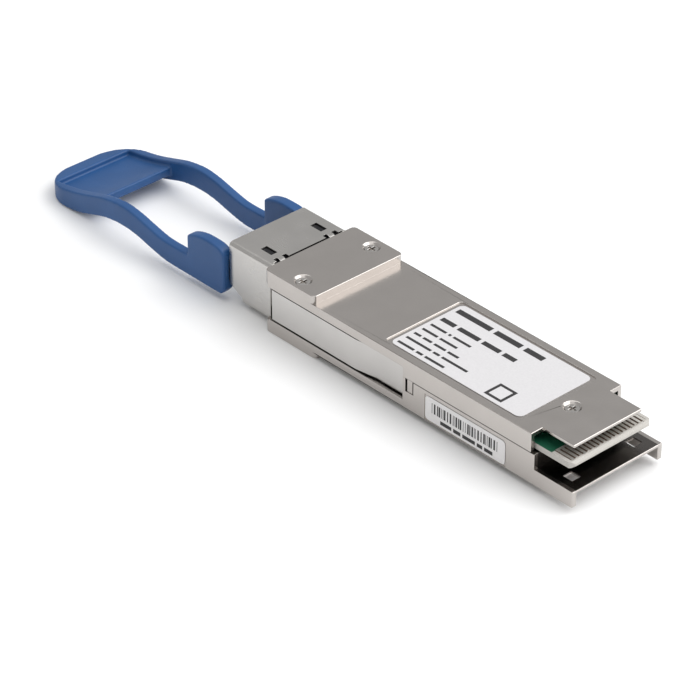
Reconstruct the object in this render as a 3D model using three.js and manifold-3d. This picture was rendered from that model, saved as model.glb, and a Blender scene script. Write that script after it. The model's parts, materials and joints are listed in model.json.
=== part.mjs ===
// Optical transceiver module with a pull-tab latch release.
// Millimetres. +X points along the module to the card edge, +Z is up.
// Inside the assembly group, x = 0 is near the rear face of the raised nose and
// z = 0 is the underside of the part that goes into the cage.

import * as THREE from 'three';
import { mergeVertices } from 'three/addons/utils/BufferGeometryUtils.js';
import Module from 'manifold-3d';

const wasm = await Module();
wasm.setup();

// ---------------------------------------------------------------- driving sizes

const BODY = { width: 18.35, height: 8.5, wall: 0.85, roof: 0.65, floor: 0.8 };
const HALF = BODY.width / 2;
const SPLIT_Z = 5.25;

const NOSE = { front: -10.6, rear: 0.45, halfWidth: HALF, top: 9.9, bottom: -1, cornerRadius: 0.8 };
const COVER_REAR = 46.2;
const TONGUE = { rear: 52.4, halfWidth: 6.875, thick: 0.5 };
const END_PLATE = { front: 46.9, rear: 54.6, top: 2.67, thick: 0.5 };
const PLATE_HOLE = { x0: 50.7, x1: 52.6, y0: 5.4, y1: 7.2 };

// Half-widths of the space inside the shells, from the nose to the card.
const BAY = { optics: 5.95, board: 7.3, card: 8.4 };
const BAY_STEP = { optics: 9.2, board: 20.5 };

const SHIELD = {
  front: -20.2, rear: -11.05, halfWidth: 7.9, top: 9.77, bottom: -0.65, thick: 0.3,
  topRadius: 0.8, bottomRadius: 1.6,
};
const SHIELD_SIDE_REAR = -10.75;
const WINDOW = { x0: -15.4, x1: -12.95, y0: 4.45, y1: 5.7 };
// The two hooks at the rear of the shield's top slope down into pockets in the receptacle.
const HOOK = {
  y: 5.05, width: 1, bend: -11.45, rear: -10.75, drop: 0.36, notch: 0.75, notchDepth: 0.8,
};

// The sheet plate that slides along each side of the body, with the ramp that lifts the
// cage's latch, and the arm that carries it forward into the pull tab.
const SLIDER_TRAVEL = 1.8;
const SLIDER = {
  front: -9.1, rear: 19.4, bottom: 1.55, top: 6.8,
  outer: HALF - 0.075, thick: 0.5, rampStart: 9.6, rampEnd: 13.6, rampIn: 0.6,
};
const ARM = { outer: 7.55, thick: 0.4, bottom: 2.5, top: 6.5, front: -26.8 };

// The recess that the slider runs in. It deepens at a step that the ramp never reaches.
const RECESS = {
  rear: SLIDER.rear + 0.4, bottom: 1.28, top: 6.95,
  frontDepthY: 8.45, rearDepthY: 7.85, stepX: SLIDER.rampStart - SLIDER_TRAVEL + 0.6,
};

const SPRING = { y: 7.45, z: 4.15, radius: 0.6, wire: 0.09, front: -0.4, rear: 7.3, turns: 9 };
const SPRING_POCKET = { x0: -0.5, x1: 8.6, y0: 6.5, z0: 3.3, z1: 5.0 };
const LUG = { x0: 7.35, thick: 0.5, y0: 6.7, z0: 3.45, z1: 4.85 };

const LATCH_NOTCH = { x0: 20.35, x1: 22.05, bottom: 3.0, slit: 0.3, depth: 0.9, padSink: 0.12 };

const BOARD = { front: 11.6, rear: 53.4, bottom: 5.46, top: 6.46, halfWidth: 8.2, noseHalfWidth: 7 };
const CARD = { bevel: 0.5, bevelDrop: 0.32, corner: 0.7 };
const PAD = {
  count: 19, pitch: 0.8, width: 0.46, thick: 0.06,
  front: 49.7, rear: 52.88, short: 0.3, bus: 0.4,
};

const PORT = {
  y: 3.125, size: 4.8, axisZ: 4.1, rear: -10.4,
  latchWidth: 3.2, latchTop: 8.6, latchRear: -12.6,
};
const RECEPTACLE = { front: -19.7, rear: -8.4, halfWidth: 6.5, bottom: 0.1, top: 9.3 };

const SCREW = { headRadius: 1.12, neckRadius: 0.72, headHeight: 0.7, sink: 0.32, slack: 0.05 };
const NOSE_SCREW = { x: -4.3, y: 6.98, tip: 2.9 };
const TAIL_SCREW = { x: 45.3, y: 0, tip: 2.9 };

const LABEL = { x0: 15.2, x1: 42.15, halfWidth: 7.45, radius: 1, thick: 0.1 };
const LABEL_RECESS = { x0: 14.45, x1: 42.7, halfWidth: 7.9, depth: 0.2 };
const SIDE_LABEL = {
  x0: 24.6, x1: 41.1, z0: 0.35, z1: 4.45,
  radius: 0.7, thick: 0.07, sink: 0.1, rim: 0.15,
};

const TAB = {
  front: -65.9, halfWidth: 8.9, wall: 1.6, cornerRadius: 6,
  rimFront: 2.9, padRear: -52.1, padThick: 1.6, padDrop: 0.95,
};
// The pull tab seen from the side: middle height and depth of its arm at points along it.
const TAB_PATH = [
  { x: -65.9, mid: 0.22, depth: 2.45 },
  { x: -62.0, mid: 0.5, depth: 2.95 },
  { x: -58.5, mid: 0.85, depth: 3.4 },
  { x: -55.5, mid: 1.46, depth: 3.6 },
  { x: -52.5, mid: 2.38, depth: 3.55 },
  { x: -49.0, mid: 3.38, depth: 3.55 },
  { x: -45.0, mid: 3.82, depth: 3.65 },
  { x: -41.5, mid: 3.5, depth: 3.6 },
  { x: -38.0, mid: 2.7, depth: 3.6 },
  { x: -34.5, mid: 2.05, depth: 3.6 },
  { x: -30.6, mid: 2.0, depth: 3.7 },
  { x: -28.2, mid: 2.0, depth: 3.7 },
];
// The block at the end of each tab arm, which grips the slider's arm.
const BLOCK = { front: -29.1, rear: -20.4, inner: 6.95, bottom: 0.15, shoulder: 7.4, top: 8.6, gap: 0.05 };

const GAP = 0.02;
const ROUND = 24;

// Colours and finishes.
const FINISH = {
  castMetal: { color: 0xb3afab, roughness: 0.38, metalness: 0.9 },
  sheetSteel: { color: 0xb9b8b3, roughness: 0.3, metalness: 1 },
  screwSteel: { color: 0xc9c9c6, roughness: 0.22, metalness: 1 },
  bluePlastic: { color: 0x2f5fa0, roughness: 0.48, metalness: 0 },
  blackPlastic: { color: 0x1c1d20, roughness: 0.5, metalness: 0 },
  ceramic: { color: 0xe9e6de, roughness: 0.25, metalness: 0 },
  kovar: { color: 0xc8a25a, roughness: 0.3, metalness: 1 },
  board: { color: 0x1d6a47, roughness: 0.45, metalness: 0 },
  gold: { color: 0xd7d2c2, roughness: 0.3, metalness: 1 },
  flex: { color: 0xb8742a, roughness: 0.45, metalness: 0 },
  chip: { color: 0x26272b, roughness: 0.55, metalness: 0 },
  capacitor: { color: 0xa98a63, roughness: 0.5, metalness: 0 },
  thermalPad: { color: 0x9fb0b8, roughness: 0.9, metalness: 0 },
  label: { color: 0xf4f4f2, roughness: 0.5, metalness: 0 },
};

// ---------------------------------------------------------------- solid helpers

function solidOf(geometry) {
  const bare = geometry.clone();
  bare.deleteAttribute('normal');
  bare.deleteAttribute('uv');
  const merged = mergeVertices(bare, 1e-4);
  return new wasm.Manifold(new wasm.Mesh({
    numProp: 3,
    vertProperties: new Float32Array(merged.attributes.position.array),
    triVerts: new Uint32Array(merged.index.array),
  }));
}

function geometryOf(solid) {
  const { vertProperties, triVerts } = solid.getMesh();
  const indexed = new THREE.BufferGeometry();
  indexed.setAttribute('position', new THREE.BufferAttribute(new Float32Array(vertProperties), 3));
  indexed.setIndex(new THREE.BufferAttribute(new Uint32Array(triVerts), 1));
  const flat = indexed.toNonIndexed();
  flat.computeVertexNormals();
  return flat;
}

const join = (...solids) => solids.reduce((whole, piece) => whole.add(piece));
const cut = (body, ...tools) => tools.reduce((rest, tool) => rest.subtract(tool), body);

// A box from its limits. Limits may come in either order.
function box([xa, xb], [ya, yb], [za, zb]) {
  const geometry = new THREE.BoxGeometry(Math.abs(xb - xa), Math.abs(yb - ya), Math.abs(zb - za));
  geometry.translate((xa + xb) / 2, (ya + yb) / 2, (za + zb) / 2);
  return solidOf(geometry);
}

function extruded(shape, depth) {
  return new THREE.ExtrudeGeometry(shape, { depth, bevelEnabled: false, curveSegments: 9 });
}

// An outline drawn in plan (x, y) and raised from z0 to z1.
function planPrism(shape, z0, z1) {
  const geometry = extruded(shape, z1 - z0);
  geometry.translate(0, 0, z0);
  return solidOf(geometry);
}

// An outline drawn from the side (x, z) and drawn out between two y limits.
function sidePrism(shape, ya, yb) {
  const geometry = extruded(shape, Math.abs(yb - ya));
  geometry.rotateX(Math.PI / 2);
  geometry.translate(0, Math.max(ya, yb), 0);
  return solidOf(geometry);
}

// A profile drawn from the end (y, z) and drawn out between two x limits.
function endPrism(shape, x0, x1) {
  const geometry = extruded(shape, x1 - x0);
  geometry.rotateY(Math.PI / 2);
  geometry.rotateX(Math.PI / 2);
  geometry.translate(x0, 0, 0);
  return solidOf(geometry);
}

// A round bar or cone along +Z, from z0 to z1.
function uprightRod(x, y, z0, z1, bottomRadius, topRadius = bottomRadius) {
  const geometry = new THREE.CylinderGeometry(topRadius, bottomRadius, z1 - z0, ROUND);
  geometry.rotateX(Math.PI / 2);
  geometry.translate(x, y, (z0 + z1) / 2);
  return solidOf(geometry);
}

// A turned piece around an axis along +X. The profile is a list of [x, radius].
function turned(profile, y, z) {
  const geometry = new THREE.LatheGeometry(profile.map(([x, r]) => new THREE.Vector2(r, x)), ROUND);
  geometry.rotateZ(-Math.PI / 2);
  geometry.translate(0, y, z);
  return solidOf(geometry);
}

const rodAlongX = (x0, x1, radius, y, z) => turned([[x0, 0], [x0, radius], [x1, radius], [x1, 0]], y, z);

function polygon(points) {
  return new THREE.Shape(points.map(([a, b]) => new THREE.Vector2(a, b)));
}

function roundedRectangle(x0, x1, y0, y1, radius) {
  const shape = new THREE.Shape();
  shape.moveTo(x0 + radius, y0);
  shape.lineTo(x1 - radius, y0);
  shape.absarc(x1 - radius, y0 + radius, radius, -Math.PI / 2, 0);
  shape.lineTo(x1, y1 - radius);
  shape.absarc(x1 - radius, y1 - radius, radius, 0, Math.PI / 2);
  shape.lineTo(x0 + radius, y1);
  shape.absarc(x0 + radius, y1 - radius, radius, Math.PI / 2, Math.PI);
  shape.lineTo(x0, y0 + radius);
  shape.absarc(x0 + radius, y0 + radius, radius, Math.PI, 1.5 * Math.PI);
  return shape;
}

// ---------------------------------------------------------------- assembly

const transceiver = new THREE.Group();
transceiver.name = 'optical_transceiver_module';

const assembly = new THREE.Group();
assembly.position.set(-(TAB.front + END_PLATE.rear) / 2, 0, -NOSE.bottom);
transceiver.add(assembly);

function addPart(name, geometry, finish) {
  const mesh = new THREE.Mesh(geometry, new THREE.MeshStandardMaterial(finish));
  mesh.name = name;
  assembly.add(mesh);
}

const addSolid = (name, solid, finish) => addPart(name, geometryOf(solid), finish);

const SIDES = [
  { name: 'left', sign: 1 },
  { name: 'right', sign: -1 },
];

// ---------------------------------------------------------------- shells

// Underside of the top shell's roof, over the optics and the board.
const ROOF_Z = BODY.height - LABEL_RECESS.depth - BODY.roof;

// Space that both shells leave clear: optics, board and slider passages.
function shellHollows(bottomZ) {
  const past = 1;
  const opticsFront = RECEPTACLE.rear + 0.2;
  const noseGap = 0.2;
  const hollows = [
    box([NOSE.front - past, opticsFront],
      [-RECEPTACLE.halfWidth - noseGap, RECEPTACLE.halfWidth + noseGap],
      [RECEPTACLE.bottom - 0.15, RECEPTACLE.top + 0.1]),
    box([NOSE.front - past, NOSE.rear - 0.9], [-BAY.optics, BAY.optics], [bottomZ, NOSE.top - 1]),
    box([NOSE.front - past, BAY_STEP.optics + 0.1], [-BAY.optics, BAY.optics], [bottomZ, ROOF_Z]),
    box([BAY_STEP.optics, BAY_STEP.board + 0.1], [-BAY.board, BAY.board], [bottomZ, ROOF_Z]),
  ];
  for (const { sign } of SIDES) {
    hollows.push(
      box([NOSE.front - past, RECESS.stepX + 0.1], [sign * RECESS.frontDepthY, sign * (HALF + past)],
        [RECESS.bottom, RECESS.top]),
      box([RECESS.stepX, RECESS.rear], [sign * RECESS.rearDepthY, sign * (HALF + past)],
        [RECESS.bottom, RECESS.top]),
      box([NOSE.front - past, SLIDER.front + 2],
        [sign * (ARM.outer - ARM.thick - 0.1), sign * (HALF + past)],
        [RECESS.bottom, RECESS.top]),
    );
  }
  return hollows;
}

// A hole for a screw: a neck, a cone under the head, and a wider ring around the sunk head.
function screwHole({ x, y, tip }, headZ) {
  const { headRadius, neckRadius, headHeight, sink, slack } = SCREW;
  const seat = headZ - sink - headHeight;
  return [
    uprightRod(x, y, tip - 0.3, headZ, neckRadius + slack),
    uprightRod(x, y, seat + slack, headZ - sink + slack, neckRadius + slack, headRadius + slack),
    uprightRod(x, y, headZ - sink, headZ + 0.1, headRadius + slack, headRadius + slack + sink + 0.1),
  ];
}

const screwHoles = [
  ...screwHole(NOSE_SCREW, NOSE.top),
  ...screwHole({ ...NOSE_SCREW, y: -NOSE_SCREW.y }, NOSE.top),
  ...screwHole(TAIL_SCREW, BODY.height),
];

function topShell() {
  const noseTop = planPrism(
    roundedRectangle(NOSE.front, NOSE.rear, -NOSE.halfWidth, NOSE.halfWidth, NOSE.cornerRadius),
    BODY.height - 1, NOSE.top);
  const cardBay = box([BAY_STEP.board, COVER_REAR + 1], [-BAY.card, BAY.card], [SPLIT_Z - 1, ROOF_Z]);
  const { x0, x1, halfWidth, depth } = LABEL_RECESS;
  const labelRecess = planPrism(
    roundedRectangle(x0, x1, -halfWidth, halfWidth, 0.8), BODY.height - depth, BODY.height + 1);
  let shell = join(
    box([NOSE.front + NOSE.cornerRadius, COVER_REAR], [-HALF, HALF], [SPLIT_Z, BODY.height]),
    noseTop,
  );
  shell = cut(shell, ...shellHollows(SPLIT_Z - 1), cardBay, labelRecess);
  const tongue = box([COVER_REAR - 2, TONGUE.rear], [-TONGUE.halfWidth, TONGUE.halfWidth],
    [BODY.height - TONGUE.thick, BODY.height]);
  const screwBoss = uprightRod(TAIL_SCREW.x, TAIL_SCREW.y, BOARD.top + 0.1,
    BODY.height - TONGUE.thick, 1.9);
  return cut(join(shell, tongue, screwBoss), ...screwHoles);
}

// The two narrow slits of a latch notch leave a small pad standing between them.
function latchNotch(sign) {
  const outside = sign * (HALF + 1);
  const inside = sign * (HALF - LATCH_NOTCH.depth);
  const zs = [LATCH_NOTCH.bottom, SPLIT_Z + 1];
  return [
    box([LATCH_NOTCH.x0, LATCH_NOTCH.x0 + LATCH_NOTCH.slit], [inside, outside], zs),
    box([LATCH_NOTCH.x1 - LATCH_NOTCH.slit, LATCH_NOTCH.x1], [inside, outside], zs),
    box([LATCH_NOTCH.x0, LATCH_NOTCH.x1], [sign * (HALF - LATCH_NOTCH.padSink), outside], zs),
  ];
}

function bottomShell() {
  const cage = box([NOSE.front + NOSE.cornerRadius, END_PLATE.front], [-HALF, HALF], [0, SPLIT_Z]);
  const noseBase = planPrism(
    roundedRectangle(NOSE.front, NOSE.rear + 0.4, -NOSE.halfWidth, NOSE.halfWidth, NOSE.cornerRadius),
    NOSE.bottom, RECESS.bottom - 0.2);
  const boardBay = box([BAY_STEP.board, COVER_REAR], [-BAY.board, BAY.board], [BODY.floor, SPLIT_Z + 1]);
  const shieldSlot = box([NOSE.front - 1, -9.5], [-6.3, 6.3], [SHIELD.bottom - 0.05, 1]);
  const cuts = [...shellHollows(BODY.floor), boardBay, shieldSlot];
  for (const { sign } of SIDES) {
    cuts.push(
      ...latchNotch(sign),
      box([SPRING_POCKET.x0, SPRING_POCKET.x1], [sign * SPRING_POCKET.y0, sign * HALF],
        [SPRING_POCKET.z0, SPRING_POCKET.z1]),
    );
  }
  const labelSeat = box([SIDE_LABEL.x0 - SIDE_LABEL.rim, SIDE_LABEL.x1 + SIDE_LABEL.rim],
    [-HALF - 1, -HALF + SIDE_LABEL.sink], [SIDE_LABEL.z0 - SIDE_LABEL.rim, SIDE_LABEL.z1 + SIDE_LABEL.rim]);
  let shell = cut(join(cage, noseBase), ...cuts, labelSeat);

  const plate = box([END_PLATE.front - 0.2, END_PLATE.rear], [-HALF, HALF],
    [END_PLATE.top - END_PLATE.thick, END_PLATE.top]);
  const screwPost = uprightRod(TAIL_SCREW.x, TAIL_SCREW.y, BODY.floor - 0.2, BOARD.bottom - 0.05, 1.45);
  shell = join(shell, plate, screwPost);
  for (const { sign } of SIDES) {
    const leg = box([END_PLATE.front - 0.2, END_PLATE.rear], [sign * (HALF - BODY.wall), sign * HALF],
      [0, END_PLATE.top]);
    shell = join(shell, leg);
    for (const x of [24, 40]) {
      const rest = box([x, x + 2], [sign * (BAY.board - 0.1), sign * BAY.card],
        [SPLIT_Z - 0.5, BOARD.bottom - 0.05]);
      shell = join(shell, rest);
    }
    const hole = box([PLATE_HOLE.x0, PLATE_HOLE.x1], [sign * PLATE_HOLE.y0, sign * PLATE_HOLE.y1], [1, 4]);
    shell = cut(shell, hole);
  }
  return cut(shell, ...screwHoles);
}

// ---------------------------------------------------------------- shield and receptacle

// The lower front corner is cut away from the shield and from the receptacle inside it.
const CORNER_CUT = { x: -17.4, rearZ: 1, frontZ: 2.4 };

function lowerFrontCorner(inset) {
  return sidePrism(polygon([
    [SHIELD.front - 1, SHIELD.bottom - 1],
    [CORNER_CUT.x + inset, SHIELD.bottom - 1],
    [CORNER_CUT.x + inset, CORNER_CUT.rearZ + inset],
    [SHIELD.front, CORNER_CUT.frontZ + inset],
    [SHIELD.front - 1, CORNER_CUT.frontZ + inset],
  ]), -HALF, HALF);
}

// The shield's section, seen from the end. It bends in further along its bottom edges.
function shieldSection(inset) {
  const { halfWidth, top, bottom, topRadius, bottomRadius } = SHIELD;
  const [y, high, low] = [halfWidth - inset, top - inset, bottom + inset];
  const [upper, lower] = [topRadius - inset, bottomRadius - inset];
  const shape = new THREE.Shape();
  shape.moveTo(-y + lower, low);
  shape.absarc(y - lower, low + lower, lower, -Math.PI / 2, 0);
  shape.absarc(y - upper, high - upper, upper, 0, Math.PI / 2);
  shape.absarc(-y + upper, high - upper, upper, Math.PI / 2, Math.PI);
  shape.absarc(-y + lower, low + lower, lower, Math.PI, 1.5 * Math.PI);
  return shape;
}

function frontShield() {
  const { front, rear, halfWidth, top, bottom, thick } = SHIELD;
  let sleeve = cut(endPrism(shieldSection(0), front, SHIELD_SIDE_REAR),
    endPrism(shieldSection(thick), front - 1, 0));
  const topSetback = box([rear, 0], [-halfWidth + 1, halfWidth - 1], [top - 1, top + 1]);
  const bottomSetback = box([rear, 0], [-halfWidth - 1, halfWidth + 1], [bottom - 1, bottom + 1]);
  sleeve = cut(sleeve, topSetback, bottomSetback, lowerFrontCorner(0));
  const tongue = box([rear - 1, -9.7], [-6, 6], [bottom, bottom + thick]);
  sleeve = join(sleeve, tongue);

  const hookSide = polygon([
    [HOOK.bend - 0.2, top - thick],
    [HOOK.bend, top - thick],
    [HOOK.rear, top - HOOK.drop - thick],
    [HOOK.rear, top - HOOK.drop],
    [HOOK.bend, top],
    [HOOK.bend - 0.2, top],
  ]);
  for (const { sign } of SIDES) {
    const y0 = sign * (HOOK.y - HOOK.width / 2);
    const y1 = sign * (HOOK.y + HOOK.width / 2);
    sleeve = cut(sleeve,
      box([WINDOW.x0, WINDOW.x1], [sign * WINDOW.y0, sign * WINDOW.y1], [top - 1, top + 1]),
      box([HOOK.bend, 0], [y0, y1], [top - 1, top + 1]),
      box([rear - HOOK.notchDepth, 0], [y0, y0 - sign * HOOK.notch], [top - 1, top + 1]),
      box([rear - HOOK.notchDepth, 0], [y1, y1 + sign * HOOK.notch], [top - 1, top + 1]));
    sleeve = join(sleeve, sidePrism(hookSide, y0, y1));
  }
  return sleeve;
}

function receptacle() {
  const { front, rear, halfWidth, bottom, top } = RECEPTACLE;
  let body = cut(box([front, rear], [-halfWidth, halfWidth], [bottom, top]), lowerFrontCorner(0.35));
  for (const { sign } of SIDES) {
    const y = sign * PORT.y;
    const half = PORT.size / 2;
    const rise = box([WINDOW.x0 + 0.1, WINDOW.x1 - 0.1],
      [sign * (WINDOW.y0 + 0.1), sign * (WINDOW.y1 - 0.1)],
      [top - 0.5, top + 0.2]);
    const hookPocket = box([HOOK.bend - 0.1, HOOK.rear + 0.3],
      [sign * (HOOK.y - HOOK.width / 2 - 0.1), sign * (HOOK.y + HOOK.width / 2 + 0.1)],
      [top - 0.35, top + 1]);
    body = cut(join(body, rise), hookPocket,
      box([front - 2, PORT.rear], [y - half, y + half], [PORT.axisZ - half, PORT.axisZ + half]),
      box([front - 2, PORT.latchRear], [y - PORT.latchWidth / 2, y + PORT.latchWidth / 2],
        [PORT.axisZ, PORT.latchTop]),
      rodAlongX(PORT.rear - 1, rear + 1, 1.75, y, PORT.axisZ));
  }
  return body;
}

// ---------------------------------------------------------------- optics

function barrel(sign) {
  const sleeve = { mouth: -15, boreEnd: -9, radius: 1.65, bore: 0.65, chamfer: 0.2 };
  const flange = { x0: RECEPTACLE.rear + 0.1, x1: RECEPTACLE.rear + 0.95, radius: 2.4 };
  return turned([
    [sleeve.boreEnd, 0],
    [sleeve.boreEnd, sleeve.bore],
    [sleeve.mouth, sleeve.bore],
    [sleeve.mouth, sleeve.radius - sleeve.chamfer],
    [sleeve.mouth + sleeve.chamfer, sleeve.radius],
    [flange.x0, sleeve.radius],
    [flange.x0, flange.radius],
    [flange.x1, flange.radius],
    [flange.x1, 1.8],
    [-4.55, 1.8],
    [-4.55, 0],
  ], sign * PORT.y, PORT.axisZ);
}

function opticsBracket() {
  const x0 = -6.9;
  const x1 = -5.5;
  let plate = box([x0, x1], [-BAY.optics + 0.15, BAY.optics - 0.15], [BODY.floor + 0.05, 7.4]);
  for (const { sign } of SIDES) {
    plate = cut(plate, rodAlongX(x0 - 1, x1 + 1, 1.9, sign * PORT.y, PORT.axisZ));
  }
  return plate;
}

const OPTICS = { front: -4.5, y0: 0.35, y1: 5.75, bottom: 1.3, top: 6.3, lid: 0.2 };

function opticsBox(sign, rear) {
  const { front, y0, y1, bottom, top, lid } = OPTICS;
  return join(
    box([front, rear], [sign * y0, sign * y1], [bottom, top]),
    box([front + 0.5, rear - 0.5], [sign * (y0 + 0.5), sign * (y1 - 0.5)], [top - lid, top + lid]),
  );
}

// A thin ribbon that follows a smooth curve drawn from the side.
function ribbon(points, thick, y0, y1) {
  const curve = new THREE.SplineCurve(points.map(([x, z]) => new THREE.Vector2(x, z)));
  const steps = 20;
  const upper = [];
  const lower = [];
  for (let i = 0; i <= steps; i += 1) {
    const at = curve.getPoint(i / steps);
    const along = curve.getTangent(i / steps);
    upper.push([at.x - along.y * thick / 2, at.y + along.x * thick / 2]);
    lower.unshift([at.x + along.y * thick / 2, at.y - along.x * thick / 2]);
  }
  return sidePrism(polygon([...upper, ...lower]), y0, y1);
}

// ---------------------------------------------------------------- board and its parts

function circuitBoard() {
  const outline = polygon([
    [BOARD.front, -BOARD.noseHalfWidth],
    [BAY_STEP.board + 0.3, -BOARD.noseHalfWidth],
    [BAY_STEP.board + 0.3, -BOARD.halfWidth],
    [BOARD.rear - CARD.corner, -BOARD.halfWidth],
    [BOARD.rear, -BOARD.halfWidth + CARD.corner],
    [BOARD.rear, BOARD.halfWidth - CARD.corner],
    [BOARD.rear - CARD.corner, BOARD.halfWidth],
    [BAY_STEP.board + 0.3, BOARD.halfWidth],
    [BAY_STEP.board + 0.3, BOARD.noseHalfWidth],
    [BOARD.front, BOARD.noseHalfWidth],
  ]);
  const bevelled = polygon([
    [BOARD.front - 1, BOARD.bottom],
    [BOARD.rear - CARD.bevel, BOARD.bottom],
    [BOARD.rear, BOARD.bottom + CARD.bevelDrop],
    [BOARD.rear, BOARD.top - CARD.bevelDrop],
    [BOARD.rear - CARD.bevel, BOARD.top],
    [BOARD.front - 1, BOARD.top],
  ]);
  const blank = planPrism(outline, BOARD.bottom - 1, BOARD.top + 1);
  return cut(blank.intersect(sidePrism(bevelled, -HALF, HALF)),
    uprightRod(TAIL_SCREW.x, TAIL_SCREW.y, BOARD.bottom - 1, BOARD.top + 1, SCREW.neckRadius + 0.25));
}

// One row of contacts: fingers side by side, with a narrow strip behind that ties them.
// Every third finger is a ground and reaches further out.
function contactRow(z0) {
  const first = -((PAD.count - 1) / 2) * PAD.pitch;
  const outline = [[PAD.front - PAD.bus, first - PAD.width / 2]];
  for (let i = 0; i < PAD.count; i += 1) {
    const y = first + i * PAD.pitch;
    const reach = i % 3 === 0 ? PAD.rear : PAD.rear - PAD.short;
    outline.push([PAD.front, y - PAD.width / 2]);
    outline.push([reach, y - PAD.width / 2]);
    outline.push([reach, y + PAD.width / 2]);
    outline.push([PAD.front, y + PAD.width / 2]);
  }
  outline.push([PAD.front - PAD.bus, -first + PAD.width / 2]);
  return planPrism(polygon(outline), z0, z0 + PAD.thick);
}

// Chips and passives: limits in x and y, height, and the face of the board they sit on.
const COMPONENTS = [
  { name: 'laser_driver', x: [15.6, 20.2], y: [1.1, 5.7], height: 0.85, finish: 'chip' },
  { name: 'receiver_amplifier', x: [15.6, 20.2], y: [-5.7, -1.1], height: 0.85, finish: 'chip' },
  { name: 'controller', x: [28.5, 34.5], y: [-3, 3], height: 0.85, finish: 'chip' },
  { name: 'memory_chip', x: [37, 40], y: [-5.5, -3.5], height: 0.75, finish: 'chip' },
  { name: 'power_inductor_1', x: [23.2, 25.7], y: [3, 5], height: 1, finish: 'chip' },
  { name: 'power_inductor_2', x: [23.2, 25.7], y: [-5, -3], height: 1, finish: 'chip' },
  { name: 'capacitor_1', x: [37, 38.6], y: [2.6, 3.4], height: 0.8, finish: 'capacitor' },
  { name: 'capacitor_2', x: [37, 38.6], y: [4.4, 5.2], height: 0.8, finish: 'capacitor' },
  { name: 'capacitor_3', x: [42.2, 43], y: [3.4, 5], height: 0.8, finish: 'capacitor' },
  { name: 'capacitor_4', x: [42.2, 43], y: [-5, -3.4], height: 0.8, finish: 'capacitor' },
];

// ---------------------------------------------------------------- latch release

function slider(sign) {
  const { front, rear, bottom, top, outer, thick, rampStart, rampEnd, rampIn } = SLIDER;
  const plate = planPrism(polygon([
    [front, outer - thick],
    [rampStart, outer - thick],
    [rampEnd, outer - thick - rampIn],
    [rear, outer - thick - rampIn],
    [rear, outer - rampIn],
    [rampEnd, outer - rampIn],
    [rampStart, outer],
    [front, outer],
  ].map(([x, y]) => [x, sign * y])), bottom, top);
  const bridgeX = [front + 0.9, front + 1.5];
  const inner = ARM.outer - ARM.thick;
  return join(
    plate,
    box(bridgeX, [sign * inner, sign * (outer - 0.1)], [ARM.bottom, ARM.top]),
    box([ARM.front, bridgeX[1]], [sign * inner, sign * ARM.outer], [ARM.bottom, ARM.top]),
    box([LUG.x0, LUG.x0 + LUG.thick], [sign * LUG.y0, sign * (outer - 0.1)], [LUG.z0, LUG.z1]),
  );
}

class Helix extends THREE.Curve {
  constructor(sign) {
    super();
    this.sign = sign;
  }

  getPoint(t, target = new THREE.Vector3()) {
    const turn = 2 * Math.PI * SPRING.turns * t;
    return target.set(
      THREE.MathUtils.lerp(SPRING.front + SPRING.wire, SPRING.rear - SPRING.wire, t),
      this.sign * SPRING.y + SPRING.radius * Math.cos(turn),
      SPRING.z + SPRING.radius * Math.sin(turn),
    );
  }
}

function returnSpring(sign) {
  const wire = new THREE.Shape();
  wire.absarc(0, 0, SPRING.wire, 0, 2 * Math.PI);
  return new THREE.ExtrudeGeometry(wire, {
    steps: SPRING.turns * 14, curveSegments: 3, bevelEnabled: false, extrudePath: new Helix(sign),
  });
}

// The tab's height range anywhere along its arms.
const tabMiddle = new THREE.SplineCurve(TAB_PATH.map((p) => new THREE.Vector2(p.x, p.mid)));
const tabDepth = new THREE.SplineCurve(TAB_PATH.map((p) => new THREE.Vector2(p.x, p.depth)));

function tabOutline(steps) {
  const top = [];
  const bottom = [];
  for (let i = 0; i <= steps; i += 1) {
    const middle = tabMiddle.getPoint(i / steps);
    const depth = tabDepth.getPoint(i / steps).y;
    top.push([middle.x, middle.y + depth / 2]);
    bottom.push([middle.x, Math.max(middle.y - depth / 2, NOSE.bottom)]);
  }
  return { top, bottom };
}

function blockOutline() {
  const { front, rear, bottom, shoulder, top } = BLOCK;
  const shape = new THREE.Shape();
  shape.moveTo(front, bottom);
  shape.lineTo(rear - 1, bottom);
  shape.lineTo(rear, bottom + 1.1);
  shape.lineTo(rear, shoulder - 0.3);
  shape.quadraticCurveTo(rear - 0.2, top - 0.3, rear - 2, top - 0.1);
  shape.quadraticCurveTo(front + 2.6, top + 0.3, front, shoulder);
  return shape;
}

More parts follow.
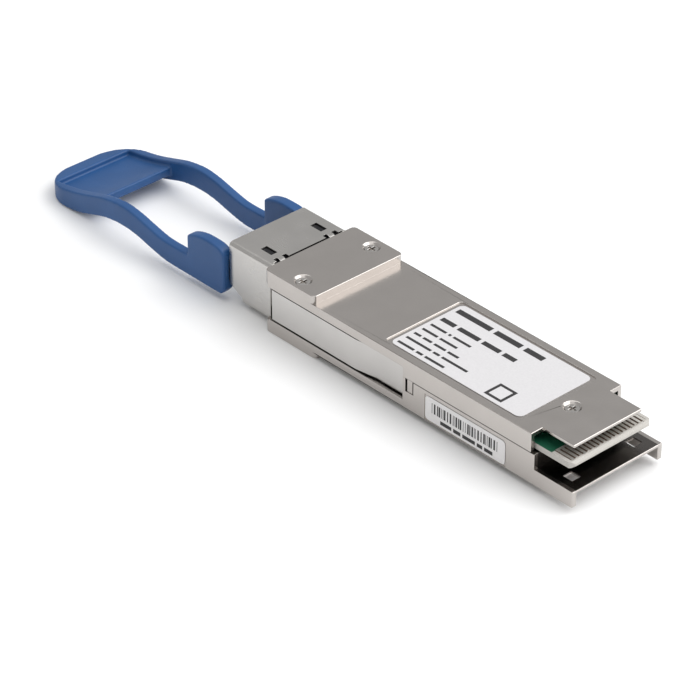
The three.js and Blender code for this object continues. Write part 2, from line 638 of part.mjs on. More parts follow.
function pullTab() {
  const { top, bottom } = tabOutline(36);
  const inner = TAB.halfWidth - TAB.wall;
  const rimRear = TAB.front + TAB.rimFront;
  const blank = sidePrism(polygon([...bottom, ...top.slice().reverse()]), -TAB.halfWidth, TAB.halfWidth);
  const clearing = box([rimRear, BLOCK.rear + 1], [-inner, inner], [-3, 12]);

  // The pad is the same curve, lowered from the rim.
  const lowered = (drop) => top.map(([x, z]) => [x, z - drop]);
  const padCurve = polygon([...lowered(TAB.padDrop + TAB.padThick), ...lowered(TAB.padDrop).reverse()]);
  const pad = sidePrism(padCurve, -inner - 0.3, inner + 0.3)
    .intersect(box([rimRear - 0.4, TAB.padRear], [-HALF, HALF], [-3, 12]));

  const plan = planPrism(
    roundedRectangle(TAB.front, 0, -TAB.halfWidth, TAB.halfWidth, TAB.cornerRadius), -4, 14);
  let tab = join(cut(blank, clearing), pad).intersect(plan);

  for (const { sign } of SIDES) {
    const block = sidePrism(blockOutline(), sign * BLOCK.inner, sign * TAB.halfWidth);
    const socket = box([ARM.front - BLOCK.gap, BLOCK.rear + 1],
      [sign * (ARM.outer - ARM.thick - BLOCK.gap), sign * (ARM.outer + BLOCK.gap)],
      [ARM.bottom - BLOCK.gap, ARM.top + BLOCK.gap]);
    tab = cut(join(tab, block), socket);
  }
  return tab;
}

// ---------------------------------------------------------------- fasteners and labels

function screw({ x, y, tip }, headZ) {
  const top = headZ - SCREW.sink;
  const slot = { length: 1.45, width: 0.36, depth: 0.42 };
  const body = join(
    uprightRod(x, y, tip, top - SCREW.headHeight + 0.1, SCREW.neckRadius),
    uprightRod(x, y, top - SCREW.headHeight, top, SCREW.neckRadius, SCREW.headRadius),
  );
  return cut(body,
    box([x - slot.length / 2, x + slot.length / 2], [y - slot.width / 2, y + slot.width / 2],
      [top - slot.depth, top + 1]),
    box([x - slot.width / 2, x + slot.width / 2], [y - slot.length / 2, y + slot.length / 2],
      [top - slot.depth, top + 1]));
}

function topLabel() {
  const z = BODY.height - LABEL_RECESS.depth + GAP;
  const { x0, x1, halfWidth, radius, thick } = LABEL;
  return planPrism(roundedRectangle(x0, x1, -halfWidth, halfWidth, radius), z, z + thick);
}

function sideLabel() {
  const { x0, x1, z0, z1, radius, thick, sink } = SIDE_LABEL;
  const y = -HALF + sink - GAP;
  return sidePrism(roundedRectangle(x0, x1, z0, z1, radius), y - thick, y);
}

// ---------------------------------------------------------------- build

addSolid('top_shell', topShell(), FINISH.castMetal);
addSolid('bottom_shell', bottomShell(), FINISH.castMetal);
addSolid('front_shield', frontShield(), FINISH.sheetSteel);
addSolid('duplex_receptacle', receptacle(), FINISH.blackPlastic);
addSolid('optics_bracket', opticsBracket(), FINISH.sheetSteel);

const TRANSMITTER_REAR = 8;
const RECEIVER_REAR = 6.8;
addSolid('transmit_barrel', barrel(1), FINISH.ceramic);
addSolid('receive_barrel', barrel(-1), FINISH.ceramic);
addSolid('transmitter_optics', opticsBox(1, TRANSMITTER_REAR), FINISH.kovar);
addSolid('receiver_optics', opticsBox(-1, RECEIVER_REAR), FINISH.kovar);

const FLEX = { thick: 0.14, y0: 0.9, y1: 5.2 };
const flexTopZ = BOARD.top + GAP + FLEX.thick / 2;
const flexBottomZ = BOARD.bottom - GAP - FLEX.thick / 2;
addSolid('transmit_flex', ribbon([
  [TRANSMITTER_REAR + 0.2, 2.2],
  [TRANSMITTER_REAR + 0.3, 4.4],
  [9.3, 6.1],
  [10.9, flexTopZ + 0.2],
  [12.4, flexTopZ + 0.02],
  [15.1, flexTopZ + 0.01],
], FLEX.thick, FLEX.y0, FLEX.y1), FINISH.flex);
addSolid('receive_flex', ribbon([
  [RECEIVER_REAR + 0.25, 2],
  [RECEIVER_REAR + 0.35, 3.6],
  [8.3, 5],
  [10.2, flexBottomZ - 0.1],
  [12.4, flexBottomZ - 0.03],
  [15.1, flexBottomZ - 0.02],
], FLEX.thick, -FLEX.y1, -FLEX.y0), FINISH.flex);

addSolid('circuit_board', circuitBoard(), FINISH.board);
addSolid('contact_row_top', contactRow(BOARD.top + GAP), FINISH.gold);
addSolid('contact_row_bottom', contactRow(BOARD.bottom - GAP - PAD.thick), FINISH.gold);

for (const { name, x, y, height, finish } of COMPONENTS) {
  const z = BOARD.top + GAP;
  addSolid(name, box(x, y, [z, z + height]), FINISH[finish]);
}

addSolid('thermal_pad_transmitter',
  box([-0.6, 7], [1.1, 5], [OPTICS.top + OPTICS.lid + GAP, ROOF_Z - GAP]), FINISH.thermalPad);
addSolid('thermal_pad_chips',
  box([15.8, 20], [-5.5, 5.5], [BOARD.top + 0.85 + 2 * GAP, ROOF_Z - GAP]), FINISH.thermalPad);

for (const { name, sign } of SIDES) {
  addSolid(`slider_${name}`, slider(sign), FINISH.sheetSteel);
  addPart(`return_spring_${name}`, returnSpring(sign), FINISH.screwSteel);
  const place = { ...NOSE_SCREW, y: sign * NOSE_SCREW.y };
  addSolid(`nose_screw_${name}`, screw(place, NOSE.top), FINISH.screwSteel);
}
addSolid('tail_screw', screw(TAIL_SCREW, BODY.height), FINISH.screwSteel);
addSolid('pull_tab', pullTab(), FINISH.bluePlastic);
addSolid('top_label', topLabel(), FINISH.label);
addSolid('side_label', sideLabel(), FINISH.label);

export default transceiver;
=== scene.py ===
import json
import math

import bmesh
import bpy
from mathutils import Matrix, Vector


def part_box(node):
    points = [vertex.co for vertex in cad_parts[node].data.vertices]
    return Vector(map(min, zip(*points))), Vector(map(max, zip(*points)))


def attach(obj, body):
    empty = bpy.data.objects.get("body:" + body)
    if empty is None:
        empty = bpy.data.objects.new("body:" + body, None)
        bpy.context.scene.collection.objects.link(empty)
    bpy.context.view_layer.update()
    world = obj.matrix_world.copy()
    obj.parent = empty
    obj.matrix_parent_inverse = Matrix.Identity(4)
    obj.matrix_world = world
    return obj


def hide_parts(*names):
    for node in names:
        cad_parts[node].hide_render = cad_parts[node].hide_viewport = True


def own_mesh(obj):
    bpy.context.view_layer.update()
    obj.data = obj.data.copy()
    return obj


# Optical transceiver module. Lengths are in metres in the row frame: +X runs from the pull tab
# to the card edge and +Z is up. Sizes are written as so many MM.

MM = 0.001
X = Vector((1, 0, 0))
Y = Vector((0, 1, 0))
Z = Vector((0, 0, 1))

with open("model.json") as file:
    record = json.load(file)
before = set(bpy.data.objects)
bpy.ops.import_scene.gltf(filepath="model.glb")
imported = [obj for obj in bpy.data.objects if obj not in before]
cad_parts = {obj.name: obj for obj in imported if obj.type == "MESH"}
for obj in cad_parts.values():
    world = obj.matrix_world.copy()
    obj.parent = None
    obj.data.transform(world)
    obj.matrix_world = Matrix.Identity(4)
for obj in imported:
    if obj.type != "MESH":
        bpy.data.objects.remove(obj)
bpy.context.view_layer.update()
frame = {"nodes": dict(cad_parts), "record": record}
NODES = frame["nodes"]
RECORD = frame["record"]

# ---------------------------------------------------------------- materials

# Nearly all of a noise's values lie between these two.
NOISE_LOW, NOISE_HIGH = 0.3, 0.7

# Where a Mix node keeps its two colours and its result.
FIRST_COLOUR, SECOND_COLOUR, MIXED_COLOUR = 6, 7, 2

# How far a tone takes to fade out at the border of its region.
FADE = 0.02 * MM


class Surface:
    """One material and the nodes that feed it. Feature sizes are in metres."""

    def __init__(self, name, **plain):
        self.material = bpy.data.materials.new(name)
        self.material.use_nodes = True
        self.tree = self.material.node_tree
        self.shader = self.tree.nodes["Principled BSDF"]
        self.place = self.add("ShaderNodeTexCoord").outputs["Object"]
        for socket, value in plain.items():
            self.shader.inputs[socket.replace("_", " ")].default_value = value

    def add(self, kind, **settings):
        node = self.tree.nodes.new(kind)
        for key, value in settings.items():
            setattr(node, key, value)
        return node

    def link(self, output, target):
        self.tree.links.new(output, target)

    def stretched(self, stretch):
        """The place on the surface, scaled by a factor along each axis."""
        node = self.add("ShaderNodeMapping")
        node.inputs["Scale"].default_value = stretch
        self.link(self.place, node.inputs["Vector"])
        return node.outputs["Vector"]

    def noise(self, feature, detail=2.0, stretch=(1, 1, 1)):
        """Noise whose patches are about as large as feature, and longer where stretch is below 1."""
        node = self.add("ShaderNodeTexNoise")
        node.inputs["Scale"].default_value = 1 / feature
        node.inputs["Detail"].default_value = detail
        self.link(self.stretched(stretch), node.inputs["Vector"])
        return node.outputs["Fac"]

    def ramp(self, value, low, high, to_low, to_high):
        """Maps value from the range low..high to to_low..to_high, held at both ends."""
        node = self.add("ShaderNodeMapRange")
        sockets = ("From Min", "From Max", "To Min", "To Max")
        for socket, number in zip(sockets, (low, high, to_low, to_high)):
            node.inputs[socket].default_value = number
        self.link(value, node.inputs["Value"])
        return node.outputs["Result"]

    def spread(self, noise, to_low, to_high):
        """Maps a noise to to_low..to_high."""
        return self.ramp(noise, NOISE_LOW, NOISE_HIGH, to_low, to_high)

    def mixed(self, share, first, second):
        """Colour that goes from first to second as share goes from 0 to 1.
        Each of the two is a colour or an output."""
        node = self.add("ShaderNodeMix", data_type="RGBA")
        self.link(share, node.inputs["Factor"])
        for index, colour in ((FIRST_COLOUR, first), (SECOND_COLOUR, second)):
            socket = node.inputs[index]
            if isinstance(colour, tuple):
                socket.default_value = (*colour, 1)
            else:
                self.link(colour, socket)
        return node.outputs[MIXED_COLOUR]

    def mottled(self, noise, first, second):
        """Colour that wanders between two with a noise."""
        return self.mixed(self.spread(noise, 0, 1), first, second)

    def maths(self, operation, first, second=0.0):
        """The result of one operation on two numbers or outputs."""
        node = self.add("ShaderNodeMath", operation=operation)
        for socket, value in ((node.inputs[0], first), (node.inputs[1], second)):
            if isinstance(value, (int, float)):
                socket.default_value = value
            else:
                self.link(value, socket)
        return node.outputs[0]

    def axis(self, letter):
        """One coordinate of the place on the surface."""
        node = self.add("ShaderNodeSeparateXYZ")
        self.link(self.place, node.inputs[0])
        return node.outputs[letter]

    def distance(self, letter, middle=0.0):
        """How far the place is from the middle along one axis, to either side."""
        return self.maths("ABSOLUTE", self.maths("SUBTRACT", self.axis(letter), middle))

    def within(self, low, high):
        """1 inside a box that is the same on both sides of the middle, given its low and high corners."""
        share = self.ramp(self.distance("Y"), high.y, high.y + FADE, 1, 0)
        for letter, least, most in (("X", low.x, high.x), ("Z", low.z, high.z)):
            above = self.ramp(self.axis(letter), least - FADE, least, 0, 1)
            below = self.ramp(self.axis(letter), most, most + FADE, 1, 0)
            share = self.maths("MULTIPLY", share, self.maths("MULTIPLY", above, below))
        return share

    def colour(self, output):
        self.link(output, self.shader.inputs["Base Color"])

    def roughness(self, output):
        self.link(output, self.shader.inputs["Roughness"])

    def bump(self, height, depth, strength):
        node = self.add("ShaderNodeBump")
        node.inputs["Distance"].default_value = depth
        node.inputs["Strength"].default_value = strength
        self.link(height, node.inputs["Height"])
        self.link(node.outputs["Normal"], self.shader.inputs["Normal"])


def cast_nickel(shade_boxes):
    """Die-cast zinc under satin nickel: even in tone, with a faint sheen that wanders over a few mm.
    Inside the boxes given, each a low and a high corner, the colour is a painted shade, nearly black."""
    s = Surface("cast_nickel", Metallic=1.0)
    cloud = s.noise(7 * MM)
    pebble = s.noise(0.09 * MM)
    tone = s.mottled(cloud, (0.504, 0.474, 0.45), (0.528, 0.497, 0.472))
    # Painted shade: the nearly black colour put inside the boxes given.
    painted_shade = s.mottled(pebble, (0.1, 0.092, 0.088), (0.16, 0.15, 0.142))
    for low, high in shade_boxes:
        tone = s.mixed(s.within(low, high), tone, painted_shade)
    s.colour(tone)
    s.roughness(s.spread(s.noise(2.5 * MM, detail=3), 0.2, 0.25))
    s.bump(pebble, depth=0.0016 * MM, strength=0.3)
    return s.material


def rolled_steel(name, tone, rough):
    """Bright rolled sheet with a fine grain along X and a little wander in its tone and gloss."""
    s = Surface(name, Metallic=1.0)
    grain = s.noise(0.05 * MM, stretch=(0.03, 1, 1))
    wander = s.noise(5 * MM)
    lighter = tuple(c * 1.05 for c in tone)
    s.colour(s.mixed(s.ramp(wander, 0.35, 0.65, 0, 1), tone, lighter))
    streak = s.spread(grain, -0.02, 0.02)
    s.roughness(s.maths("ADD", streak, s.spread(wander, rough - 0.02, rough + 0.02)))
    s.bump(grain, depth=0.0003 * MM, strength=0.1)
    return s.material


def screw_metal():
    """Bright plated steel with a fine grain."""
    s = Surface("screw_metal", Metallic=1.0)
    grain = s.noise(0.08 * MM)
    s.colour(s.mottled(grain, (0.5, 0.48, 0.46), (0.6, 0.58, 0.56)))
    s.roughness(s.spread(s.noise(0.5 * MM, detail=3), 0.14, 0.22))
    s.bump(grain, depth=0.001 * MM, strength=0.3)
    return s.material


def moulded(name, dark, light, rough, sheen):
    """Moulded plastic: a fine spark-eroded texture, and slight flow patches in the colour."""
    s = Surface(name, IOR=1.48, Specular_IOR_Level=sheen)
    flow = s.noise(5 * MM)
    texture = s.noise(0.12 * MM, detail=3)
    s.colour(s.mottled(flow, dark, light))
    s.roughness(s.spread(texture, rough - 0.05, rough + 0.07))
    s.bump(texture, depth=0.004 * MM, strength=0.5)
    return s.material


def printed_film(name, dark, light):
    """White polyester label with a faint satin coat."""
    s = Surface(name, IOR=1.45)
    fibre = s.noise(0.3 * MM, detail=4)
    s.colour(s.mottled(fibre, dark, light))
    s.roughness(s.spread(s.noise(1.2 * MM), 0.38, 0.5))
    s.bump(fibre, depth=0.002 * MM, strength=0.3)
    return s.material


def ink():
    """Thermal-transfer print: nearly black, worn paler in small spots."""
    s = Surface("ink", IOR=1.5)
    worn = s.noise(0.07 * MM, detail=3)
    s.colour(s.mixed(s.ramp(worn, 0.6, 0.75, 0, 1), (0.018, 0.017, 0.018), (0.09, 0.09, 0.09)))
    s.roughness(s.spread(worn, 0.4, 0.55))
    return s.material


def masked_copper(s):
    """Green solder mask over copper runs: its colour, and its height, 1 between the runs."""
    runs = s.add("ShaderNodeTexBrick")
    settings = {
        "Scale": 1 / (1.1 * MM),
        "Mortar Size": 0.12,
        "Color1": (0.005, 0.05, 0.026, 1),
        "Color2": (0.006, 0.06, 0.032, 1),
        "Mortar": (0.012, 0.095, 0.052, 1),
    }
    for socket, value in settings.items():
        runs.inputs[socket].default_value = value
    s.link(s.place, runs.inputs["Vector"])
    return runs.outputs["Color"], runs.outputs["Fac"]


PLATED_STRIP = 0.6 * MM


def board_laminate(low, high, card_start, lip_start):
    """Green mask over copper runs on top, and a painted shade below: the underside is nearly black. Past
    card_start the face is dark bare laminate, with pale plating along both sides and past lip_start.
    The cut and bevelled edges are a pale weave. The board lies between the corners low and high."""
    s = Surface("board_laminate", IOR=1.5)
    thick = high.z - low.z
    green, runs = masked_copper(s)
    # Painted shade: below the middle of the board its colour is nearly black instead of the green mask.
    upper = s.ramp(s.axis("Z"), low.z + 0.4 * thick, low.z + 0.6 * thick, 0, 1)
    mask = s.mixed(upper, (0.006, 0.008, 0.007), green)

    bare = s.mottled(s.noise(0.3 * MM, detail=3), (0.05, 0.026, 0.016), (0.085, 0.048, 0.03))
    plated = s.mottled(s.noise(0.15 * MM, detail=3), (0.42, 0.4, 0.37), (0.56, 0.54, 0.51))
    strip_start = high.y - PLATED_STRIP
    strip = s.ramp(s.distance("Y"), strip_start - FADE, strip_start + FADE, 0, 1)
    lip = s.ramp(s.axis("X"), lip_start, lip_start + 0.03 * MM, 0, 1)
    card = s.mixed(s.maths("MAXIMUM", strip, lip), bare, plated)
    at_card = s.ramp(s.axis("X"), card_start, card_start + 0.1 * MM, 0, 1)
    face = s.mixed(at_card, mask, card)

    # A place that is clearly between the two faces lies on an edge.
    off_middle = s.distance("Z", (high.z + low.z) / 2)
    on_edge = s.ramp(off_middle, 0.47 * thick, 0.49 * thick, 1, 0)
    weave = s.noise(0.1 * MM, stretch=(1, 1, 5))
    s.colour(s.mixed(on_edge, face, s.mottled(weave, (0.36, 0.34, 0.31), (0.62, 0.6, 0.565))))
    s.roughness(s.ramp(on_edge, 0, 1, 0.28, 0.6))
    s.bump(runs, depth=0.02 * MM, strength=0.5)
    return s.material


def contact_metal():
    """Plated contact, wiped along X by the host's springs."""
    s = Surface("contact_metal", Metallic=0.75)
    wipe = s.noise(0.06 * MM, detail=3, stretch=(0.05, 1, 1))
    s.colour(s.mixed(s.ramp(wipe, 0.35, 0.65, 0, 1), (0.66, 0.63, 0.58), (0.78, 0.76, 0.71)))
    s.roughness(s.spread(wipe, 0.3, 0.42))
    s.bump(wipe, depth=0.002 * MM, strength=0.4)
    return s.material


def plain_grain(name, dark, light, rough, size, metallic=0.0):
    """A surface whose tone and gloss wander with a grain of the given size."""
    s = Surface(name, Metallic=metallic)
    grain = s.noise(size, detail=4)
    s.colour(s.mottled(grain, dark, light))
    s.roughness(s.spread(grain, rough - 0.06, rough + 0.08))
    s.bump(grain, depth=0.04 * size, strength=0.4)
    return s.material


# ---------------------------------------------------------------- meshes

# Edges with a larger angle than SHARP are rounded. Those below SMOOTH_BELOW are shaded smooth, and
# on a moulded part those below SOFT_BELOW.
SHARP = math.radians(28)
SMOOTH_BELOW = math.radians(38)
SOFT_BELOW = math.radians(60)
SAME_PLANE = math.radians(0.5)

# Two edges that meet at less than this run on from each other, and don't limit each other's bevel.
RUNS_ON = math.radians(35)

# A bevel may take this share of the shortest edge in its way, and this share of its width is left
# to it in an inside corner.
ROOM_TAKEN = 0.3
INSIDE_SHARE = 0.1

BEVEL_SEGMENTS = 3
WELD = 0.003 * MM


def new_object(name, data):
    """An object in the scene that shows the given data."""
    made = bpy.data.objects.new(name, data)
    bpy.context.scene.collection.objects.link(made)
    return made


def new_piece(name, data, node, body, material):
    """A finished piece that rides on a body, and stands for a CAD node if one is given."""
    piece = new_object(name, data)
    data.materials.clear()
    data.materials.append(material)
    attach(piece, body)
    if node:
        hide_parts(node)
    return piece


def finished(name, mesh):
    """The bmesh as a new mesh."""
    data = bpy.data.meshes.new(name)
    mesh.to_mesh(data)
    mesh.free()
    return data


def bridge(mesh, ring, following):
    """A band of faces between two closed rings with as many corners."""
    for k in range(len(ring)):
        mesh.faces.new((ring[k - 1], ring[k], following[k], following[k - 1]))


def shaded(data, smooth_below=SMOOTH_BELOW):
    """Smooth across small angles, sharp across large ones."""
    for face in data.polygons:
        face.use_smooth = True
    data.set_sharp_from_angle(angle=smooth_below)
    return data


def flat_areas(mesh):
    """For each face, the area in square mm of the flat surface that it is part of."""
    areas = {}
    for seed in mesh.faces:
        if seed in areas:
            continue
        flat, waiting = {seed}, [seed]
        while waiting:
            for edge in waiting.pop().edges:
                if len(edge.link_faces) == 2 and edge.calc_face_angle(1.0) < SAME_PLANE:
                    fresh = set(edge.link_faces) - flat
                    flat |= fresh
                    waiting.extend(fresh)
        area = sum(face.calc_area() for face in flat) / MM ** 2
        areas.update((face, area) for face in flat)
    return areas


def flat_shaded(data):
    """Smooth across small angles, where the larger flat surface at a corner sets the normal there."""
    mesh = bmesh.new()
    mesh.from_mesh(data)
    mesh.normal_update()
    areas = flat_areas(mesh)
    limit = math.cos(SMOOTH_BELOW)
    normals = []
    for face in mesh.faces:
        for corner in face.loops:
            normal = Vector()
            for other in corner.vert.link_faces:
                if other.normal.dot(face.normal) > limit:
                    normal += other.normal * areas[other] ** 2
            normals.append(normal.normalized())
    mesh.free()
    shaded(data)
    data.normals_split_custom_set(normals)
    return data


def modified(name, data, *modifiers):
    """The mesh after a stack of modifiers, each given as its kind and its settings."""
    maker = new_object(name + "_maker", data)
    for kind, settings in modifiers:
        step = maker.modifiers.new(kind.lower(), kind)
        for key, value in settings.items():
            setattr(step, key, value)
    graph = bpy.context.evaluated_depsgraph_get()
    made = bpy.data.meshes.new_from_object(maker.evaluated_get(graph), depsgraph=graph)
    made.name = name
    bpy.data.objects.remove(maker)
    return made


def room_for_bevel(edge, sharp):
    """The shortest sharp edge that meets this one at a corner, which limits how far a bevel can go."""
    along = (edge.verts[1].co - edge.verts[0].co).normalized()
    room = math.inf
    for vertex in edge.verts:
        for other in vertex.link_edges:
            if other is edge or other not in sharp:
                continue
            across = (other.verts[1].co - other.verts[0].co).normalized()
            if abs(along.dot(across)) < math.cos(RUNS_ON):
                room = min(room, other.calc_length())
    return room


def rounded_mesh(node, width):
    """A finer copy of a CAD node, with every sharp edge rounded to the given width."""
    mesh = bmesh.new()
    mesh.from_mesh(NODES[node].data)
    bmesh.ops.remove_doubles(mesh, verts=mesh.verts, dist=WELD)
    layer = mesh.edges.layers.float.new("bevel_weight_edge")
    sharp = {edge for edge in mesh.edges if edge.is_manifold and edge.calc_face_angle(0) > SHARP}
    for edge in sharp:
        share = 1.0 if edge.is_convex else INSIDE_SHARE
        edge[layer] = min(share, ROOM_TAKEN * room_for_bevel(edge, sharp) / width)
    bevel = ("BEVEL", dict(limit_method="WEIGHT", width=width, segments=BEVEL_SEGMENTS,
                           use_clamp_overlap=False, miter_outer="MITER_ARC"))
    return flat_shaded(modified(node + "_fine", finished(node + "_blank", mesh), bevel))


def moulded_mesh(node, grid, passes, keep):
    """A moulded part: the CAD node wrapped in an even skin of squares as wide as grid, whose edges
    are smoothed round in so many passes. It keeps a share of its faces."""
    blank = NODES[node].data.copy()
    skin = ("REMESH", dict(mode="VOXEL", voxel_size=grid))
    soften = ("SMOOTH", dict(factor=0.5, iterations=passes))
    lighten = ("DECIMATE", dict(ratio=keep))
    return shaded(modified(node + "_fine", blank, skin, soften, lighten), SOFT_BELOW)


STEPS_PER_TURN = 28
WIRE_SIDES = 10


def helix_mesh(name, start, end, radius, wire, turns):
    """A wire wound round an axis along X, with both ends closed. wire is its own radius."""
    steps = turns * STEPS_PER_TURN
    mesh = bmesh.new()
    rings = []
    for i in range(steps + 1):
        turn = 2 * math.pi * turns * i / steps
        out = Vector((0, math.cos(turn), math.sin(turn)))
        centre = start.lerp(end, i / steps) + out * radius
        ring = []
        for k in range(WIRE_SIDES):
            around = 2 * math.pi * k / WIRE_SIDES
            offset = math.cos(around) * out + math.sin(around) * X
            ring.append(mesh.verts.new(centre + wire * offset))
        rings.append(ring)
    for ring, following in zip(rings, rings[1:]):
        bridge(mesh, ring, following)
    mesh.faces.new(rings[0])
    mesh.faces.new(reversed(rings[-1]))
    bmesh.ops.recalc_face_normals(mesh, faces=mesh.faces)
    return shaded(finished(name, mesh))


# ---------------------------------------------------------------- finishes

# Where painted shade darkens the castings, measured inwards from the faces of the two shells.
FRONT_WALL = 1.55 * MM
SIDE_WALL = 0.675 * MM
FLOOR_LEVEL = 2.2 * MM
ROOF_BELOW_NOSE = 2.1 * MM

# The end plate reaches this far past the end wall. Painted shade covers its upper face but for a pale rim
# at its rear and sides.
END_PLATE_REACH = 7.75 * MM
PLATE_LEVEL = 3.45 * MM
REAR_RIM = 0.1 * MM
SIDE_RIM = 0.775 * MM

# A painted shadow line marks the seam between the shells from the latch notch rearwards, up to and past
# the side face.
SLIDER_TO_NOTCH = 0.95 * MM
SEAM_WIDTH = 0.16 * MM
SEAM_PAST_SIDE = 0.125 * MM


def painted_shade_places():
    """Low and high corners of where painted shade darkens the castings: the space inside them, the upper
    face of the end plate, and the seam between them."""
    body_low, body_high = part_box("bottom_shell")
    cover_low, cover_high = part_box("top_shell")
    end_wall = body_high.x - END_PLATE_REACH
    roof = cover_high.z - ROOF_BELOW_NOSE
    seam_low = cover_low.z - SEAM_WIDTH / 2
    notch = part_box("slider_right")[1].x + SLIDER_TO_NOTCH
    inside = (
        Vector((body_low.x + FRONT_WALL, 0, FLOOR_LEVEL)),
        Vector((end_wall, body_high.y - SIDE_WALL, roof)),
    )
    plate = (
        Vector((end_wall, 0, PLATE_LEVEL)),
        Vector((body_high.x - REAR_RIM, body_high.y - SIDE_RIM, roof)),
    )
    seam = (
        Vector((notch, 0, seam_low)),
        Vector((end_wall, body_high.y + SEAM_PAST_SIDE, seam_low + SEAM_WIDTH)),
    )
    return inside, plate, seam


PLATED_LIP = 0.3 * MM

board_low, board_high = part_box("circuit_board")
contacts_low, contacts_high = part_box("contact_row_top")

# Painted shade darkens the castings inside, on the end plate's upper face and along the seam.
CAST = cast_nickel(painted_shade_places())
SHIELD_STEEL = rolled_steel("shield_steel", (0.54, 0.525, 0.505), rough=0.25)
SLIDER_STEEL = rolled_steel("slider_steel", (0.56, 0.545, 0.53), rough=0.24)
SCREW = screw_metal()
BLUE = moulded("blue_plastic", (0.01, 0.068, 0.21), (0.012, 0.077, 0.235), rough=0.44, sheen=0.5)
BLACK = moulded("black_plastic", (0.01, 0.01, 0.012), (0.016, 0.016, 0.018), rough=0.42, sheen=0.2)
ZIRCONIA = plain_grain("zirconia", (0.8, 0.78, 0.74), (0.86, 0.85, 0.82), rough=0.2, size=0.2 * MM)
GOLD = plain_grain("gold_plate", (0.75, 0.52, 0.22), (0.83, 0.6, 0.28), rough=0.25, size=0.4 * MM,
                   metallic=1.0)
LAMINATE = board_laminate(board_low, board_high, contacts_low.x, contacts_high.x - PLATED_LIP)
POLYIMIDE = plain_grain("polyimide", (0.36, 0.14, 0.025), (0.45, 0.19, 0.04), rough=0.3, size=0.5 * MM)
CHIP = plain_grain("chip_plastic", (0.012, 0.012, 0.013), (0.03, 0.03, 0.032), rough=0.55, size=0.08 * MM)
CAPACITOR = plain_grain("capacitor_body", (0.2, 0.13, 0.08), (0.28, 0.19, 0.12), rough=0.4, size=0.15 * MM)
PAD = plain_grain("thermal_pad", (0.28, 0.34, 0.38), (0.36, 0.42, 0.46), rough=0.8, size=0.2 * MM)
# The top label's film is a painted shade: a darker copy of the side label's white film.
SHADED_TOP_FILM = printed_film("printed_film", (0.62, 0.61, 0.62), (0.66, 0.65, 0.66))
SIDE_FILM = printed_film("side_film", (0.76, 0.745, 0.745), (0.8, 0.785, 0.785))
INK = ink()

# The material and the width of a rounded edge for each slot of the record.
BY_SLOT = {
    "cast_metal": (CAST, 0.12 * MM),
    "sheet_steel": (SLIDER_STEEL, 0.07 * MM),
    "screw_steel": (SCREW, 0.06 * MM),
    "black_plastic": (BLACK, 0.12 * MM),
    "ceramic": (ZIRCONIA, 0.06 * MM),
    "gold_plate": (GOLD, 0.12 * MM),
    "board_laminate": (LAMINATE, 0.03 * MM),
    "contact_metal": (contact_metal(), 0.012 * MM),
    "flex_film": (POLYIMIDE, 0.02 * MM),
    "chip_plastic": (CHIP, 0.05 * MM),
    "capacitor_ceramic": (CAPACITOR, 0.05 * MM),
    "thermal_pad": (PAD, 0.05 * MM),
    "label_film": (SHADED_TOP_FILM, 0.015 * MM),
}
BY_NODE = {"front_shield": SHIELD_STEEL, "side_label": SIDE_FILM}

# ---------------------------------------------------------------- pieces

SPRINGS = ("return_spring_left", "return_spring_right")
SPRING_TURNS = 9
WIRE_RADIUS = 0.09 * MM

slot_of = {part["node"]: part["material_slot"] for part in RECORD["subparts"]}

for body, members in RECORD["behaviour"]["bodies"].items():
    for node in members:
        slot = slot_of[node]
        if node == "pull_tab":
            tab = moulded_mesh(node, grid=0.16 * MM, passes=16, keep=0.35)
            new_piece(node + "_piece", tab, node, body, BLUE)
        elif node not in SPRINGS:
            material, width = BY_SLOT[slot]
            material = BY_NODE.get(node, material)
            new_piece(node + "_piece", rounded_mesh(node, width), node, body, material)

for node in SPRINGS:
    low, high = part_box(node)
    middle = (low + high) / 2
    start = Vector((low.x + WIRE_RADIUS, middle.y, middle.z))
    end = Vector((high.x - WIRE_RADIUS, middle.y, middle.z))
    radius = (high.z - low.z) / 2 - WIRE_RADIUS
    coil = helix_mesh(node + "_wire", start, end, radius, WIRE_RADIUS, SPRING_TURNS)
    spring = new_piece(node + "_piece", coil, node, "housing", SCREW)
    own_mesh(spring)

# ---------------------------------------------------------------- print on the labels

PRINT_THICK = 0.012 * MM

# Sizes on a label are in mm from its lower left corner.
TEXT_LEFT = 0.7
BAR_UNIT = 0.11

# The top label's lines: base, height, gap between words, and the length of each word.
TOP_LINES = (
    (12.6, 1.1, 0.8, (7.2, 5.4, 3.8)),
    (9.4, 0.95, 0.7, (2.9, 4.4, 3.6, 2.5)),
    (7.4, 0.5, 0.5, (3.3, 0.5, 3.6)),
    (5.7, 0.5, 0.5, (3.2, 3.6)),
    (4.05, 0.5, 0.5, (1.4, 1.8, 2.4, 2.2)),
    (2.45, 0.5, 0.5, (5.2, 1.3, 5.3)),
    (0.75, 0.5, 0.5, (3.4, 1.3, 4.0)),
)


def print_on(name, bars, origin, right, up):
    """Thin blocks of ink on a flat label whose lower left corner is origin. Each bar is its left,
    right, bottom and top."""
    mesh = bmesh.new()
    out = right.cross(up)
    for left, far, low, high in bars:
        corners = ((left, low), (far, low), (far, high), (left, high))
        outline = [origin + right * (a * MM) + up * (b * MM) for a, b in corners]
        under = [mesh.verts.new(point) for point in outline]
        over = [mesh.verts.new(point + out * PRINT_THICK) for point in outline]
        mesh.faces.new(over)
        mesh.faces.new(reversed(under))
        bridge(mesh, under, over)
    new_piece(name, finished(name, mesh), None, "housing", INK)


def words(left, base, height, gap, lengths):
    """A line of print as plain dashes, one for each word."""
    bars = []
    for length in lengths:
        bars.append((left, left + length, base, base + height))
        left += length + gap
    return bars


def square_mark(left, base, size, stroke):
    """A hollow square."""
    return [
        (left, left + size, base, base + stroke),
        (left, left + size, base + size - stroke, base + size),
        (left, left + stroke, base + stroke, base + size - stroke),
        (left + size - stroke, left + size, base + stroke, base + size - stroke),
    ]


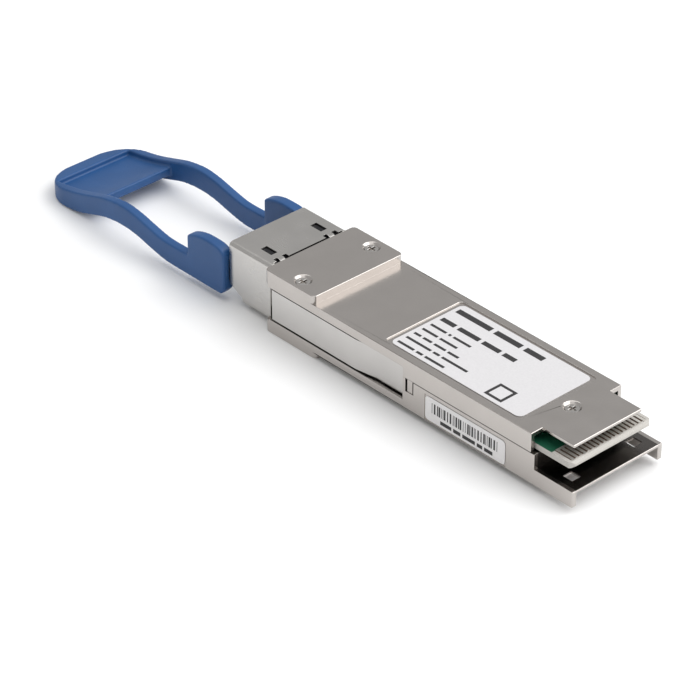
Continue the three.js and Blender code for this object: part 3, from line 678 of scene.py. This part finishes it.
def barcode(left, right, base, top):
    """Bars and gaps of one to three units, in an order set by a simple rule. It encodes nothing."""
    bars = []
    k = 0
    while left < right:
        width = BAR_UNIT * (1 + (k * k + k) % 5 % 3)
        bars.append((left, left + width, base, top))
        left += width + BAR_UNIT * (1 + (3 * k * k + 2) % 7 % 3)
        k += 1
    return bars


low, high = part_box("top_label")
top_print = [bar for line in TOP_LINES for bar in words(TEXT_LEFT, *line)]
top_print += square_mark(left=18.9, base=0.7, size=3.5, stroke=0.5)
print_on("top_label_print", top_print, Vector((low.x, low.y, high.z)), X, Y)

low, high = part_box("side_label")
side_print = barcode(left=1.4, right=15.0, base=1.6, top=3.35)
side_print += words(left=3.2, base=0.45, height=0.62, gap=0.4, lengths=(2.3, 1.5, 2.6, 1.1, 1.7))
print_on("side_label_print", side_print, Vector((low.x, low.y, low.z)), X, Z)

# ---------------------------------------------------------------- studio

FLOOR_REACH = 1.5
FLOOR_DROP = 0.01 * MM

# The photograph's viewpoint: a long lens from the card end, well above the module.
CAMERA_PLACE = (0.34085, -0.30945, 0.29544)
CAMERA_TILT, CAMERA_TURN = math.radians(56.835), math.radians(47.418)
LENS_MM, SENSOR_MM = 184.2, 36.0

WORLD_STRENGTH = 0.55


def make_floor():
    """A sheet of white paper just under the module."""
    data = bpy.data.meshes.new("floor")
    signs = ((-1, -1), (1, -1), (1, 1), (-1, 1))
    corners = [(a * FLOOR_REACH, b * FLOOR_REACH, -FLOOR_DROP) for a, b in signs]
    data.from_pydata(corners, [], [(0, 1, 2, 3)])
    s = Surface("floor_paper", Roughness=0.9, Specular_IOR_Level=0.2)
    s.colour(s.mixed(s.noise(4 * MM, detail=3), (0.93, 0.93, 0.93), (0.95, 0.95, 0.95)))
    data.materials.append(s.material)
    new_object("floor", data)


def area_light(name, place, side, power):
    """A square lamp that faces the middle of the module."""
    data = bpy.data.lights.new(name, "AREA")
    data.shape = "SQUARE"
    data.size = side
    data.energy = power
    light = new_object(name, data)
    light.location = place
    light.rotation_euler = (-Vector(place)).to_track_quat("-Z", "Y").to_euler()


def make_camera():
    data = bpy.data.cameras.new("camera")
    data.sensor_width = SENSOR_MM
    data.lens = LENS_MM
    data.clip_start, data.clip_end = 0.05, 10.0
    camera = new_object("camera", data)
    camera.location = CAMERA_PLACE
    camera.rotation_euler = (CAMERA_TILT, 0, CAMERA_TURN)
    bpy.context.scene.camera = camera


def make_world():
    """Even white light from all sides."""
    world = bpy.data.worlds.new("studio")
    world.use_nodes = True
    background = world.node_tree.nodes["Background"]
    background.inputs["Color"].default_value = (1, 1, 1, 1)
    background.inputs["Strength"].default_value = WORLD_STRENGTH
    bpy.context.scene.world = world


make_floor()
make_world()
make_camera()
area_light("overhead", (0.1, 0.15, 0.95), side=1.35, power=6.0)
area_light("key", (0.56, 0.5, 0.55), side=1.0, power=6.7)
bpy.context.scene.view_settings.view_transform = "Standard"
